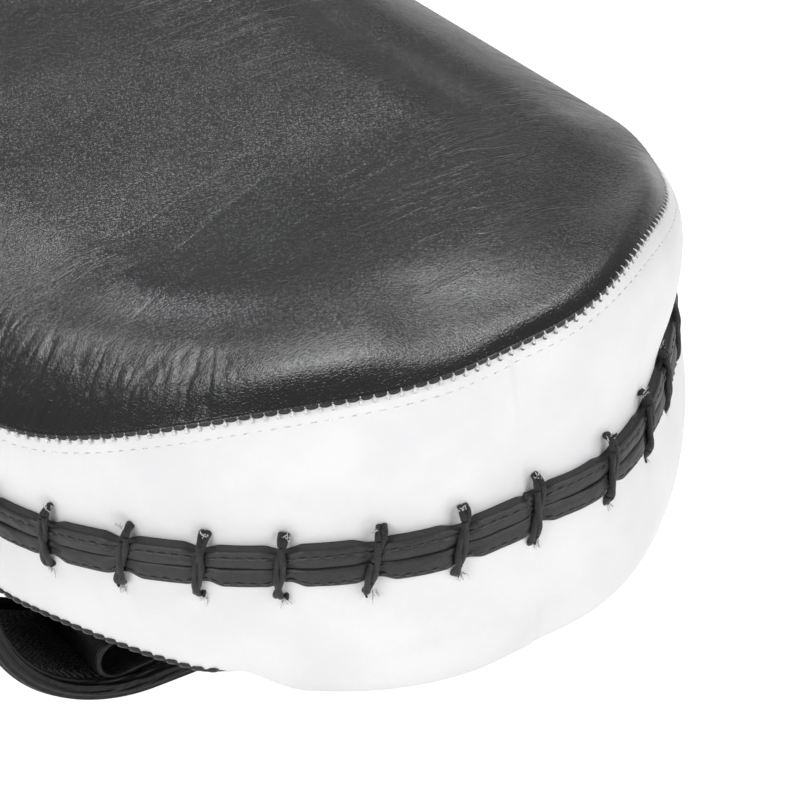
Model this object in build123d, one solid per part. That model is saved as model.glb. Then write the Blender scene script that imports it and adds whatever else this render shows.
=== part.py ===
"""Curved kick pad: two laced leather cushions, hook-and-loop forearm straps and a hand grip.

The pad lies strike face up. +Z leaves the strike face, +Y runs along the pad from the elbow
end to the hand end, and X runs across it. Z = 0 is the flat underside of the two closed straps.
"""
from build123d import *
import math
import os

# Driving dimensions, in millimetres
pad_length = 400.0
pad_width = 190.0
corner_across = 84.7        # how far the rounded end reaches in from each long side
corner_along = 92.2         # how far it reaches in from the tip
corner_fullness = 0.44      # curve handle length over corner size
seam_level = 90.0           # height of the laced middle seam over the ground
end_length = 72.0           # length over which each thick end thins to the waist
face_seam_end = 43.0        # strike face seam over the middle seam, at the tips
face_seam_waist = 28.0
crown_end = 48.0            # top of the strike face over the middle seam
crown_waist = 38.5
shoulder_start = 50.0       # half width where the rolled shoulder begins
back_end = 38.0             # back panel under the middle seam, at the tips
back_waist = 24.0
leather = 1.5
gap = 0.3                   # clearance between neighbouring soft pieces
lining = 1.0
strike_foam_thickness = 10.0
board_thickness = 3.0
board_inset = 22.0
binding_proud = 3.6
binding_height = 4.7
tie_pitch = 19.85
first_tie = 3.4             # from the middle of the elbow end, towards +X
tie_radius = 1.3
tie_height = 15.0
tie_slant = 7.0             # degrees
webbing = 2.0
tape = 1.2                  # hook or loop tape
tape_gap = 0.4
strap_width = 50.0
under_width = 40.0          # the inner strap is narrower
near_strap_y = -70.0        # middle of the strap nearer the elbow
far_strap_y = 35.0
strap_side = 93.0           # half width of the closed strap at the seam
strap_bulge = 3.0
strap_bend = 42.0           # radius of the strap's turn under the arm
anchor_drop = 3.0           # strap's upper edge under the back panel
peel_x = -50.0              # where the strap's free tail starts to peel
tail_tip_x = 52.0
under_tip_x = -67.0         # folded end of the under strap
fold_height = 11.0
fold_return = 16.0
anchor_length = 60.0
anchor_depth = 24.0
cushion_width = 84.0
cushion_length = 190.0
cushion_height = 9.0
cushion_y = -22.0
grip_y = 104.0
grip_span = 112.0           # between the middles of the grip's two legs
grip_radius = 15.0
grip_cover = 1.6
grip_low = 2.0              # lowest point of the grip over the ground
grip_bend = 24.0
grip_tab_width = 46.0
grip_tab_length = 44.0
rivet_radius = 4.5
rivet_spacing = 30.0

half_length = pad_length / 2
half_width = pad_width / 2
back_z = seam_level - back_waist


def plan_face(inset):
    """Face inside the pad's outline, drawn in by inset on every side."""
    side = half_width - inset
    tip = half_length - inset
    across = corner_across - inset
    along = corner_along - inset
    flat = side - across
    straight = tip - along
    edges = []
    for sx, sy in ((1, 1), (-1, 1), (-1, -1), (1, -1)):
        edges.append(Bezier(
            (sx * side, sy * straight),
            (sx * side, sy * (straight + corner_fullness * along)),
            (sx * (flat + corner_fullness * across), sy * tip),
            (sx * flat, sy * tip),
        ))
        edges.append(Line((sx * flat, sy * tip), (-sx * flat, sy * tip)) if sx == sy else
                     Line((sx * side, sy * straight), (sx * side, -sy * straight)))
    return Face(Wire(edges))


def plan_prism(inset):
    """The outline as a tall straight block."""
    return extrude(Pos(0, 0, -20) * plan_face(inset), 200)


def level_edges(end, waist, run):
    """Line along the pad at height end at both tips and waist between, eased over run."""
    step = run / 3
    tip = half_length + 1
    inner = half_length - run
    return [
        Line((-tip, end), (-half_length, end)),
        Bezier((-half_length, end), (-half_length + step, end), (-inner - step, waist), (-inner, waist)),
        Line((-inner, waist), (inner, waist)),
        Bezier((inner, waist), (inner + step, waist), (half_length - step, end), (half_length, end)),
        Line((half_length, end), (tip, end)),
    ]


def layer(inset, low, high):
    """Block of the pad's outline between two levels, each (at tips, at waist, run)."""
    tip = half_length + 1
    low_z = [seam_level + value for value in low[:2]]
    high_z = [seam_level + value for value in high[:2]]
    edges = level_edges(low_z[0], low_z[1], low[2]) + level_edges(high_z[0], high_z[1], high[2])
    edges.append(Line((-tip, low_z[0]), (-tip, high_z[0])))
    edges.append(Line((tip, low_z[0]), (tip, high_z[0])))
    side_face = Plane.YZ * Face(Wire(edges))
    return plan_prism(inset) & extrude(side_face, pad_width / 2 + 5, both=True)


def shoulder_block(lower):
    """Block under the rolled long shoulders of the strike face, lowered by lower."""
    top = seam_level + crown_end + 0.6 - lower
    edge = half_width + 3 - lower
    edge_z = seam_level + 16 - lower
    tip = half_length + 5
    right = Bezier((shoulder_start, top), (shoulder_start + 24, top), (edge, top - 6), (edge, edge_z))
    left = Bezier((-shoulder_start, top), (-shoulder_start - 24, top), (-edge, top - 6), (-edge, edge_z))
    section = Face(Wire([
        Line((-shoulder_start, top), (shoulder_start, top)), right,
        Line((edge, edge_z), (edge, 20)), Line((edge, 20), (-edge, 20)),
        Line((-edge, 20), (-edge, edge_z)), left,
    ]))
    return extrude(Plane.XZ * section, tip, both=True)


def flat_level(value):
    """A level that is the same height all along the pad."""
    return (value, value, end_length)


def face_level(lower):
    return (crown_end - lower, crown_waist - lower, end_length + 18)


def face_seam_level(lower):
    return (face_seam_end - lower, face_seam_waist - lower, end_length)


def back_level(lift):
    return (-back_end + lift, -back_waist + lift, end_length)


# Front cushion
def make_face_cover():
    outer = layer(0, face_seam_level(0), face_level(0)) & shoulder_block(0)
    inner = layer(leather, face_seam_level(4), face_level(leather)) & shoulder_block(leather)
    return outer - inner


def make_strike_foam():
    inset = leather + gap
    low = face_level(inset + strike_foam_thickness)
    return layer(inset, low, face_level(inset)) & shoulder_block(inset)


def make_front_core():
    inset = leather + gap
    low = flat_level(lining + 2 * gap)
    high = face_level(inset + strike_foam_thickness + gap)
    return layer(inset, low, high) & shoulder_block(inset + strike_foam_thickness + gap)


def make_wall(low, high):
    """Leather side wall of the pad between two levels."""
    return layer(0, low, high) - plan_prism(leather)


# Back cushion
def make_back_core():
    inset = leather + gap
    low = back_level(leather + board_thickness + 3 * gap)
    return layer(inset, low, flat_level(-lining - 2 * gap))


def make_back_board():
    low = back_level(leather + gap)
    high = back_level(leather + board_thickness + gap)
    return layer(board_inset, low, high)


def make_binding(side):
    """Bound edge of one cushion, standing proud beside the middle seam; side is +1 or -1."""
    low = gap / 2 if side > 0 else -gap / 2 - binding_height
    ring = plan_face(-binding_proud) - plan_face(-0.1)
    return extrude(Pos(0, 0, seam_level + low) * ring, binding_height)


def make_ties():
    """Whip stitches of waxed cord that lace the two bound edges together."""
    outline = plan_face(0).outer_wire()
    count = round(outline.length / tie_pitch)
    start = outline.param_at_point((0, -half_length, 0))
    way = 1 if (outline % start).X > 0 else -1
    reach = binding_proud + tie_radius + 0.2
    stub_length = binding_proud + tie_radius - 0.6
    stub_z = tie_height / 2 - tie_radius
    tie = Cylinder(tie_radius, tie_height)
    for z in (stub_z, -stub_z):
        tie += Pos(-stub_length / 2, 0, z) * Rot(0, 90, 0) * Cylinder(tie_radius * 0.8, stub_length)
    ties = []
    for index in range(count):
        place = (start + way * (first_tie / outline.length + index / count)) % 1
        point = outline @ place
        along = outline % place
        outward = Vector(along.Y, -along.X, 0) * way
        angle = math.degrees(math.atan2(outward.Y, outward.X))
        centre = point + outward * reach
        ties.append(Pos(centre.X, centre.Y, seam_level) * Rot(0, 0, angle) * Rot(tie_slant, 0, 0) * tie)
    return ties


# Straps, drawn as bands in the XZ plane and made strap_width wide
def band_face(outside, inside):
    """Face between an outside chain of edges and an inside chain, closed at both ends."""
    first_out = outside[0] @ 0
    last_out = outside[-1] @ 1
    first_in = inside[0] @ 0
    last_in = inside[-1] @ 1
    return Face(Wire(outside + [Line(last_out, last_in)] + inside + [Line(first_in, first_out)]))


def strap_chain(side, shift, ground, end_x):
    """Edges of a strap face: down the side, round the turn and along the ground to end_x."""
    side_x = strap_side + 2 - shift
    radius = strap_bend - shift
    centre_x = side_x - radius
    top = (side * (strap_side + 0.5 - shift), back_z - anchor_drop)
    turn = (side * side_x, ground + radius)
    foot = (side * centre_x, ground)
    down = Bezier(top, (side * (side_x + strap_bulge), top[1] - 8), (side * side_x, turn[1] + 12), turn)
    corner = math.sin(math.radians(45)) * radius
    middle = (side * (centre_x + corner), ground + radius - corner)
    return [down, ThreePointArc(turn, middle, foot), Line(foot, (end_x, ground))]


def strap_solid(section, middle_y, width):
    """Section in the XZ plane made into a band width wide about middle_y."""
    return Pos(0, middle_y, 0) * extrude(Plane.XZ * section, width / 2, both=True)


def strap_leg(middle_y):
    """Outer strap from its sewn edge, down and under to the peel line."""
    outside = strap_chain(-1, 0, 0, peel_x - gap / 2)
    inside = strap_chain(-1, webbing, webbing, peel_x - gap / 2)
    return strap_solid(band_face(outside, inside), middle_y, strap_width)


def leg_tape(middle_y):
    """Hook tape on the inside of the outer strap's turn."""
    outside = strap_chain(-1, webbing, webbing, peel_x - gap / 2)[1:]
    inside = strap_chain(-1, webbing + tape, webbing + tape, peel_x - gap / 2)[1:]
    return strap_solid(band_face(outside, inside), middle_y, strap_width - 6)


def strap_tail(middle_y):
    """Flat free tail of the outer strap."""
    start = peel_x + gap / 2
    length = tail_tip_x - start
    place = Pos(start + length / 2, middle_y, webbing / 2)
    return place * Box(length, strap_width, webbing)


def tail_tape(middle_y):
    """Hook tape along the free tail."""
    start = peel_x + gap / 2
    length = tail_tip_x - 14 - start
    place = Pos(start + length / 2, middle_y, webbing + tape / 2)
    return place * Box(length, strap_width - 6, tape)


def pull_tab(middle_y):
    """Folded leather tab that lifts the tail."""
    return Pos(tail_tip_x + 8, middle_y, 1.7) * Box(15.6, strap_width - 16, 3.4)


under_z = webbing + tape + tape_gap + tape   # underside of the under strap's webbing


def under_strap(middle_y):
    """Inner strap from the other side, ending in a folded hem."""
    outside = strap_chain(1, 0, under_z, under_tip_x + fold_height / 2)
    inside = strap_chain(1, webbing, under_z + webbing, under_tip_x + fold_height / 2)
    centre = (under_tip_x + fold_height / 2, under_z + fold_height / 2)
    outer = Pos(*centre) * Circle(fold_height / 2)
    hem = outer - Pos(*centre) * Circle(fold_height / 2 - webbing)
    hem -= Pos(centre[0] + fold_height, centre[1]) * Rectangle(2 * fold_height, 3 * fold_height)
    turned_z = under_z + fold_height - webbing / 2
    turned = Pos(centre[0] + fold_return / 2, turned_z) * Rectangle(fold_return, webbing)
    body = strap_solid(band_face(outside, inside), middle_y, under_width)
    body += strap_solid(hem, middle_y, under_width)
    body += strap_solid(turned, middle_y, under_width)
    return body


def under_tape(middle_y):
    """Loop tape under the inner strap."""
    start = under_tip_x + 10
    length = tail_tip_x - start
    place = Pos(start + length / 2, middle_y, under_z - tape / 2)
    return place * Box(length, under_width - 4, tape)


def strap_anchor(side, middle_y):
    """Leather patch that reinforces the strap's sewn edge on the back panel."""
    x = side * (half_width - 12 - anchor_depth / 2)
    return Pos(x, middle_y, back_z - gap - 1) * fillet(
        Box(anchor_depth, anchor_length, 2).edges().filter_by(Axis.Z), 5)


# Forearm cushion on the back
def cushion_block(inset):
    block = Box(cushion_width - 2 * inset, cushion_length - 2 * inset, cushion_height - 2 * inset)
    block = fillet(block.edges().filter_by(Axis.Z), 26 - inset)
    block = chamfer(block.faces().sort_by(Axis.Z)[0].edges(), 2.5)
    return Pos(0, cushion_y, back_z - gap - cushion_height / 2) * block


# Hand grip
grip_pivot_z = back_z - 3 * gap - 2 - grip_radius
grip_bar_z = grip_low + grip_radius


def grip_shape(radius):
    """Round bar with a rounded leg at each end, of the given radius."""
    half = grip_span / 2
    top = (-half, 0, grip_pivot_z)
    path = FilletPolyline(
        top, (-half, 0, grip_bar_z), (half, 0, grip_bar_z), (half, 0, grip_pivot_z), radius=grip_bend)
    bar = sweep(Plane(origin=top, z_dir=(0, 0, -1)) * Circle(radius), path)
    for x in (-half, half):
        bar += Pos(x, 0, grip_pivot_z) * Sphere(radius)
    return Pos(0, grip_y, 0) * bar


def grip_tab(side):
    """Leather foot plate under one end of the grip."""
    plate = Box(grip_tab_width, grip_tab_length, 2)
    plate = fillet(plate.edges().filter_by(Axis.Z), 9)
    return Pos(side * grip_span / 2, grip_y, back_z - gap - 1) * plate


def make_rivets():
    """Four low domed rivets, two through each foot plate, beside the grip's legs."""
    rivets = []
    for side in (-1, 1):
        for offset in (-rivet_spacing / 2, rivet_spacing / 2):
            head = Cylinder(rivet_radius, 1.4)
            head = chamfer(head.faces().sort_by(Axis.Z)[0].edges(), 0.9)
            x = side * (grip_span / 2 + 17)
            rivets.append(Pos(x, grip_y + offset, back_z - 2 - gap - 0.75) * head)
    return rivets


def build_parts():
    """Every node of the pad, by name."""
    nodes = {
        "face_cover": make_face_cover(),
        "strike_foam": make_strike_foam(),
        "front_core_foam": make_front_core(),
        "upper_gusset": make_wall(flat_level(gap), face_seam_level(gap)),
        "upper_lining": layer(leather + gap, flat_level(gap), flat_level(gap + lining)),
        "upper_binding": make_binding(1),
        "lower_binding": make_binding(-1),
        "lower_lining": layer(leather + gap, flat_level(-gap - lining), flat_level(-gap)),
        "lower_gusset": make_wall(back_level(leather + gap), flat_level(-gap)),
        "back_core_foam": make_back_core(),
        "back_board": make_back_board(),
        "back_panel": layer(0, back_level(0), back_level(leather)),
        "lacing_ties": make_ties(),
        "forearm_cushion_cover": cushion_block(0) - cushion_block(1.2),
        "forearm_cushion_foam": cushion_block(1.2 + gap),
        "grip_core": grip_shape(grip_radius - grip_cover - gap / 3),
        "grip_cover": grip_shape(grip_radius) - grip_shape(grip_radius - grip_cover),
        "grip_tab_left": grip_tab(-1),
        "grip_tab_right": grip_tab(1),
        "grip_rivets": make_rivets(),
    }
    for name, middle_y in (("near", near_strap_y), ("far", far_strap_y)):
        nodes[f"{name}_strap_leg"] = strap_leg(middle_y)
        nodes[f"{name}_strap_tail"] = strap_tail(middle_y)
        nodes[f"{name}_leg_hook_tape"] = leg_tape(middle_y)
        nodes[f"{name}_tail_hook_tape"] = tail_tape(middle_y)
        nodes[f"{name}_pull_tab"] = pull_tab(middle_y)
        nodes[f"{name}_under_strap"] = under_strap(middle_y)
        nodes[f"{name}_loop_tape"] = under_tape(middle_y)
        nodes[f"{name}_anchor_left"] = strap_anchor(-1, middle_y)
        nodes[f"{name}_anchor_right"] = strap_anchor(1, middle_y)
    return nodes


os.makedirs("parts", exist_ok=True)
for node_name, shape in build_parts().items():
    solid = Compound(children=list(shape)) if isinstance(shape, list) else shape
    export_step(solid, f"parts/{node_name}.step")
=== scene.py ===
"""The looks of the curved kick pad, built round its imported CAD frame."""
import math

import bpy
import bmesh
import numpy as np
from mathutils import Matrix, Vector


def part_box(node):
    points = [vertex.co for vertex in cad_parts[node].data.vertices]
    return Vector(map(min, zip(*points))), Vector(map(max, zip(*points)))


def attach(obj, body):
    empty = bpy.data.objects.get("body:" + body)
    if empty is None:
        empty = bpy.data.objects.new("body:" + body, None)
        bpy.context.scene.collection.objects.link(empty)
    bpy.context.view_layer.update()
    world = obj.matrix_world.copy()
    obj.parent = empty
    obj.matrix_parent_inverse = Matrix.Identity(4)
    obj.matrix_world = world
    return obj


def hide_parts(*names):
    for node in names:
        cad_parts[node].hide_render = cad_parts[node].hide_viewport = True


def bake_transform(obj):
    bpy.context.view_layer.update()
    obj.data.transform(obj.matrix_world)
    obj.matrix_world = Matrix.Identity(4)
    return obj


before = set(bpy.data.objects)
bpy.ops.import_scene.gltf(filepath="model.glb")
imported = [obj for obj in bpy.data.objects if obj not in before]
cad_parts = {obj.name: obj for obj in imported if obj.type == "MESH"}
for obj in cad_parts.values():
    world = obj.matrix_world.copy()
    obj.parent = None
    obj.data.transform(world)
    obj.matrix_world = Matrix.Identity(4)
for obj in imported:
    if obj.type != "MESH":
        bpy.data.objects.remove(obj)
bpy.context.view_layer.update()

MM = 0.001


def box_mm(node):
    """Low and high corners of a CAD node, in millimetres."""
    low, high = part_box(node)
    return np.array(low) / MM, np.array(high) / MM


# ---------------------------------------------------------------- sizes, in millimetres
HALF_WIDTH, HALF_LENGTH = box_mm("upper_gusset")[1][:2]
SEAM_Z = (box_mm("upper_binding")[0][2] + box_mm("lower_binding")[1][2]) / 2
ANCHOR_LOW, ANCHOR_HIGH = (corner[2] for corner in box_mm("near_anchor_left"))
BACK_Z = ANCHOR_HIGH + 0.3
CORNER_ACROSS = 84.7
CORNER_ALONG = 92.2
CORNER_FULLNESS = 0.44
FACE_SEAM_END = 43.1
FACE_SEAM_WAIST = 27.4
FACE_CROWN_END = 48.5
FACE_CROWN_WAIST = 38.6
BACK_END = 36.0
BACK_WAIST = SEAM_Z - BACK_Z
END_LENGTH = 72.0
TIE_COUNT = 51
FIRST_TIE = 3.4
STITCH = 3.0


# ---------------------------------------------------------------- numbers and noise
def ease(t):
    t = np.clip(t, 0.0, 1.0)
    return t * t * (3 - 2 * t)


def level(y, end, waist, run=END_LENGTH):
    """Height end at both tips, eased to waist over run from each tip."""
    return end + (waist - end) * ease((HALF_LENGTH - np.abs(y)) / run)


def noise(u, v, seed):
    """Smooth noise from -1 to 1 on a unit lattice."""
    u, v = np.broadcast_arrays(np.asarray(u, float), np.asarray(v, float))
    iu = np.floor(u).astype(np.int64)
    iv = np.floor(v).astype(np.int64)
    fu = ease(u - iu)
    fv = ease(v - iv)

    def corner(a, b):
        h = (a * 374761393 + b * 668265263 + seed * 974634777) & 0xFFFFFFFF
        h = ((h ^ (h >> 13)) * 1274126177) & 0xFFFFFFFF
        return ((h ^ (h >> 16)) & 0xFFFF) / 32767.5 - 1

    low = corner(iu, iv) * (1 - fu) + corner(iu + 1, iv) * fu
    high = corner(iu, iv + 1) * (1 - fu) + corner(iu + 1, iv + 1) * fu
    return low * (1 - fv) + high * fv


def creases(u, v, seed, width=0.22):
    """Thin wandering valleys, 1 at their floor, where two layers of noise cross zero."""
    field = noise(u, v, seed) + 0.5 * noise(u * 2.1, v * 1.9, seed + 7)
    return np.exp(-(field / width) ** 2)


# ---------------------------------------------------------------- the pad's outline
def bezier(p0, p1, p2, p3, t):
    p0, p1, p2, p3 = (np.asarray(p, float) for p in (p0, p1, p2, p3))
    t = np.asarray(t)[:, None]
    return (1 - t) ** 3 * p0 + 3 * t * (1 - t) ** 2 * p1 + 3 * t * t * (1 - t) * p2 + t ** 3 * p3


class Outline:
    """A closed plan outline, anticlockwise, sampled evenly by length from its first point."""

    def __init__(self, loop, count):
        loop = np.vstack([loop, loop[:1]])
        steps = np.hypot(*np.diff(loop, axis=0).T)
        along = np.concatenate([[0], np.cumsum(steps)])
        self.length = along[-1]
        self.count = count
        self.s = np.arange(count) * self.length / count
        self.p = self.sample(loop, along, self.s)
        tangent = self.sample(loop, along, self.s + 1) - self.sample(loop, along, self.s - 1)
        self.t = tangent / np.hypot(*tangent.T)[:, None]
        self.n = np.stack([self.t[:, 1], -self.t[:, 0]], 1)

    def sample(self, loop, along, s):
        return np.stack([np.interp(s % self.length, along, loop[:, k]) for k in (0, 1)], 1)

    def at(self, s):
        """Point, outward normal and tangent at distance s."""
        f = (np.asarray(s) % self.length) / self.length * self.count
        i = np.floor(f).astype(int) % self.count
        w = (f - np.floor(f))[..., None]
        return [a[i] * (1 - w) + a[(i + 1) % self.count] * w for a in (self.p, self.n, self.t)]


def pad_outline(count):
    """The pad's outline, from the middle of the elbow end towards +X."""
    flat = HALF_WIDTH - CORNER_ACROSS
    straight = HALF_LENGTH - CORNER_ALONG
    corner = bezier(
        (flat, -HALF_LENGTH),
        (flat + CORNER_FULLNESS * CORNER_ACROSS, -HALF_LENGTH),
        (HALF_WIDTH, -(straight + CORNER_FULLNESS * CORNER_ALONG)),
        (HALF_WIDTH, -straight),
        np.linspace(0, 1, 400),
    )
    quarter = np.vstack([[(0.0, -HALF_LENGTH)], corner, [(HALF_WIDTH, 0.0)]])
    half = np.vstack([quarter, quarter[::-1][1:] * (1, -1)])
    return Outline(np.vstack([half, half[::-1][1:-1] * (-1, 1)]), count)


def rounded_rectangle(width, length, radius, count=160, middle=(0, 0)):
    """Outline of a rectangle with round corners."""
    a = np.linspace(0, np.pi / 2, 12)
    points = []
    for turn, sx, sy in ((0, 1, 1), (1, -1, 1), (2, -1, -1), (3, 1, -1)):
        b = a + turn * np.pi / 2
        points.append(np.column_stack([
            middle[0] + sx * (width / 2 - radius) + radius * np.cos(b),
            middle[1] + sy * (length / 2 - radius) + radius * np.sin(b)]))
    return Outline(np.vstack(points), count)


def tie_shift(s, length):
    """How far the hand-pulled ties stand from an even spacing."""
    s = (s + length / 2) % length - length / 2
    right = (2.0 * ease((s - 2) / 22) + 1.2 * ease((s - 60) / 40)) * ease((480 - s) / 300)
    left = 1.6 * ease((-55 - s) / 30) * ease((480 + s) / 300)
    return right + left - 1.3


def from_first_tie(s, length):
    """Signed distance along the outline to the nearest tie."""
    pitch = length / TIE_COUNT
    return (s - tie_shift(s, length) - FIRST_TIE + pitch / 2) % pitch - pitch / 2


# ---------------------------------------------------------------- meshes
def grid_quads(rows, cols):
    """Quads of a grid of rows by cols points whose columns close into rings."""
    r = np.arange(rows - 1)[:, None]
    c = np.arange(cols)[None, :]
    n = (c + 1) % cols
    return np.stack([r * cols + c, r * cols + n, (r + 1) * cols + n, (r + 1) * cols + c], -1).reshape(-1, 4)


def make_mesh(name, points, quads):
    """Smooth mesh object from points in millimetres and quads."""
    mesh = bpy.data.meshes.new(name)
    points = np.ascontiguousarray(np.reshape(points, (-1, 3)) * MM, np.float32)
    quads = np.ascontiguousarray(quads, np.int32)
    mesh.vertices.add(len(points))
    mesh.vertices.foreach_set("co", points.ravel())
    mesh.loops.add(len(quads) * 4)
    mesh.loops.foreach_set("vertex_index", quads.ravel())
    mesh.polygons.add(len(quads))
    mesh.polygons.foreach_set("loop_start", np.arange(0, len(quads) * 4, 4, dtype=np.int32))
    mesh.update(calc_edges=True)
    mesh.polygons.foreach_set("use_smooth", np.ones(len(quads), bool))
    obj = bpy.data.objects.new(name, mesh)
    bpy.context.scene.collection.objects.link(obj)
    return obj


def close_mesh(obj, merge=0.002):
    """Merges coincident points, drops faces without area and turns all normals outward."""
    bm = bmesh.new()
    bm.from_mesh(obj.data)
    bmesh.ops.remove_doubles(bm, verts=bm.verts, dist=merge * MM)
    bmesh.ops.dissolve_degenerate(bm, edges=bm.edges, dist=1e-7)
    bmesh.ops.recalc_face_normals(bm, faces=bm.faces)
    bm.to_mesh(obj.data)
    bm.free()
    obj.data.polygons.foreach_set("use_smooth", np.ones(len(obj.data.polygons), bool))
    return obj


def ring_mesh(name, rows, merge=0.002):
    """Closed shell from rows of points that each run all the way round."""
    rows = np.array([np.asarray(r, float) for r in rows])
    return close_mesh(make_mesh(name, rows, grid_quads(*rows.shape[:2])), merge)


def place(obj, material, body="pad", nodes=()):
    """Gives a finished piece its material, hides the CAD nodes it stands for and hangs it on its body; a
    tuple in place of a body only bakes its transform.
    """
    obj.data.materials.clear()
    obj.data.materials.append(material)
    if nodes:
        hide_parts(*nodes)
    if isinstance(body, str):
        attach(obj, body)
    else:
        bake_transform(obj)
    return obj


def ring_points(outline, offset, z):
    """Points round an outline, moved out by offset to height z."""
    xy = outline.p + outline.n * np.reshape(offset, (-1, 1))
    return np.column_stack([xy, np.broadcast_to(z, len(xy))])


def loft(outline, profile):
    """Rows of a closed shell over an outline; profile is (offset, z, share of the way in)."""
    middle = outline.p.mean(0)
    rows = []
    for offset, z, inward in profile:
        row = ring_points(outline, offset, z)
        row[:, :2] += (middle - row[:, :2]) * inward
        rows.append(row)
    return rows


def tubes(paths, radii, sides=8):
    """Points and quads of closed tubes along paths (count, steps, 3)."""
    paths = np.asarray(paths, float)
    count, steps = paths.shape[:2]
    radii = np.broadcast_to(radii, (count, steps))
    tangent = np.gradient(paths, axis=1)
    tangent /= np.linalg.norm(tangent, axis=2, keepdims=True) + 1e-12
    ref = np.where(np.abs(tangent[..., 2:3]) < 0.9, np.array((0, 0, 1.0)), np.array((1.0, 0, 0)))
    side = np.cross(tangent, ref)
    side /= np.linalg.norm(side, axis=2, keepdims=True) + 1e-12
    up = np.cross(side, tangent)
    a = np.linspace(0, 2 * np.pi, sides, endpoint=False)[:, None]
    ring = np.cos(a) * side[:, :, None] + np.sin(a) * up[:, :, None]
    points = paths[:, :, None] + ring * radii[:, :, None, None]
    first = paths[:, :1, None] + ring[:, :1] * 0.02
    last = paths[:, -1:, None] + ring[:, -1:] * 0.02
    points = np.concatenate([first, points, last], 1)
    quads = grid_quads(steps + 2, sides)
    quads = quads[None] + np.arange(count)[:, None, None] * (steps + 2) * sides
    return points.reshape(-1, 3), quads.reshape(-1, 4)[:, ::-1]


def join_parts(name, parts):
    """One mesh from several (points, quads) parts."""
    sizes = np.cumsum([0] + [len(p) for p, _ in parts])
    points = np.vstack([p for p, _ in parts])
    quads = np.vstack([q + base for (_, q), base in zip(parts, sizes)])
    return make_mesh(name, points, quads)


def sew(name, parts, thread, body="pad"):
    """Thread or cord made of several parts, as one piece."""
    place(join_parts(name, parts), thread, body)


def stitches(ends_a, ends_b, radius, sink=0.0, lift=(0, 0, 1)):
    """Short threads from each point of ends_a to ends_b, arched along lift."""
    ends_a, ends_b = np.asarray(ends_a, float), np.asarray(ends_b, float)
    lift = np.broadcast_to(np.asarray(lift, float), ends_a.shape)
    u = np.linspace(0, 1, 5)[None, :, None]
    arch = np.sin(np.pi * u)
    paths = ends_a[:, None] * (1 - u) + ends_b[:, None] * u + lift[:, None] * (arch * radius - sink)
    swell = 0.55 + 0.45 * np.sin(np.pi * np.linspace(0.08, 0.92, 5))
    return tubes(paths, radius * swell[None], 6)


def dashes_along(points, pitch, length, normals=None, radius=0.35, sink=0.0):
    """A row of stitches along a line of points; normals lift each thread off its surface."""
    steps = np.linalg.norm(np.diff(points, axis=0), axis=1)
    along = np.concatenate([[0], np.cumsum(steps)])
    starts = np.arange(pitch / 2, along[-1] - length, pitch)

    def at(values, s):
        return np.stack([np.interp(s, along, values[:, k]) for k in range(3)], 1)

    lift = at(normals, starts + length / 2) if normals is not None else (0, 0, 1)
    return stitches(at(points, starts), at(points, starts + length), radius, sink, lift)


# ---------------------------------------------------------------- materials
class Shader:
    """Builds a principled material from nodes."""

    def __init__(self, name, color, rough, **sockets):
        self.material = bpy.data.materials.new(name)
        self.material.use_nodes = True
        self.tree = self.material.node_tree
        self.bsdf = self.tree.nodes["Principled BSDF"]
        self.color(color)
        self.rough(rough)
        for key, value in sockets.items():
            self.bsdf.inputs[key.replace("_", " ")].default_value = value
        self.coords = self.tree.nodes.new("ShaderNodeTexCoord").outputs["Object"]
        self.normal = None

    def connect(self, value, socket):
        if isinstance(value, bpy.types.NodeSocket):
            self.tree.links.new(value, socket)
        elif isinstance(value, (tuple, list)) and len(value) == 3 and socket.type == "RGBA":
            socket.default_value = (*value, 1)
        else:
            socket.default_value = value

    def node(self, kind, inputs, **props):
        made = self.tree.nodes.new("ShaderNode" + kind)
        for key, value in props.items():
            setattr(made, key, value)
        for key, value in inputs.items():
            self.connect(value, made.inputs[key])
        return made

    def math(self, operation, a, b=0.0, c=0.0):
        return self.node("Math", {0: a, 1: b, 2: c}, operation=operation).outputs[0]

    def noise(self, scale, detail=2.0, rough=0.5, distortion=0.0, vector=None):
        inputs = {"Vector": vector or self.coords, "Scale": scale, "Detail": detail,
                  "Roughness": rough, "Distortion": distortion}
        return self.node("TexNoise", inputs).outputs["Fac"]

    def cells(self, scale, vector=None):
        inputs = {"Vector": vector or self.coords, "Scale": scale}
        return self.node("TexVoronoi", inputs, feature="DISTANCE_TO_EDGE").outputs["Distance"]

    def stretch(self, scale, turn=0.0):
        """Object coordinates scaled along each axis and turned about Z."""
        return self.node("Mapping", {"Vector": self.coords, "Scale": scale,
                                     "Rotation": (0, 0, turn)}).outputs["Vector"]

    def warp(self, vector, scale, amount):
        """Coordinates shifted by up to amount metres of noise."""
        wobble = self.node("TexNoise", {"Vector": vector, "Scale": scale, "Detail": 2.0}).outputs["Color"]
        made = self.node("VectorMath", {0: wobble, 1: (amount,) * 3, 2: vector}, operation="MULTIPLY_ADD")
        return made.outputs[0]

    def spread(self, value, low, high, to_low=0.0, to_high=1.0):
        inputs = {"Value": value, "From Min": low, "From Max": high, "To Min": to_low, "To Max": to_high}
        return self.node("MapRange", inputs, interpolation_type="SMOOTHSTEP").outputs["Result"]

    def mix(self, factor, a, b):
        return self.node("Mix", {0: factor, 6: a, 7: b}, data_type="RGBA").outputs[2]

    def color(self, value):
        self.connect(value, self.bsdf.inputs["Base Color"])

    def rough(self, value):
        self.connect(value, self.bsdf.inputs["Roughness"])

    def bump(self, height, depth):
        """Adds a bump of the given depth in millimetres."""
        made = self.node("Bump", {"Height": height, "Distance": depth * MM})
        if self.normal is not None:
            self.tree.links.new(self.normal, made.inputs["Normal"])
        self.normal = made.outputs["Normal"]
        self.tree.links.new(self.normal, self.bsdf.inputs["Normal"])


def shade(color, factor):
    return tuple(c * factor for c in color)


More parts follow.
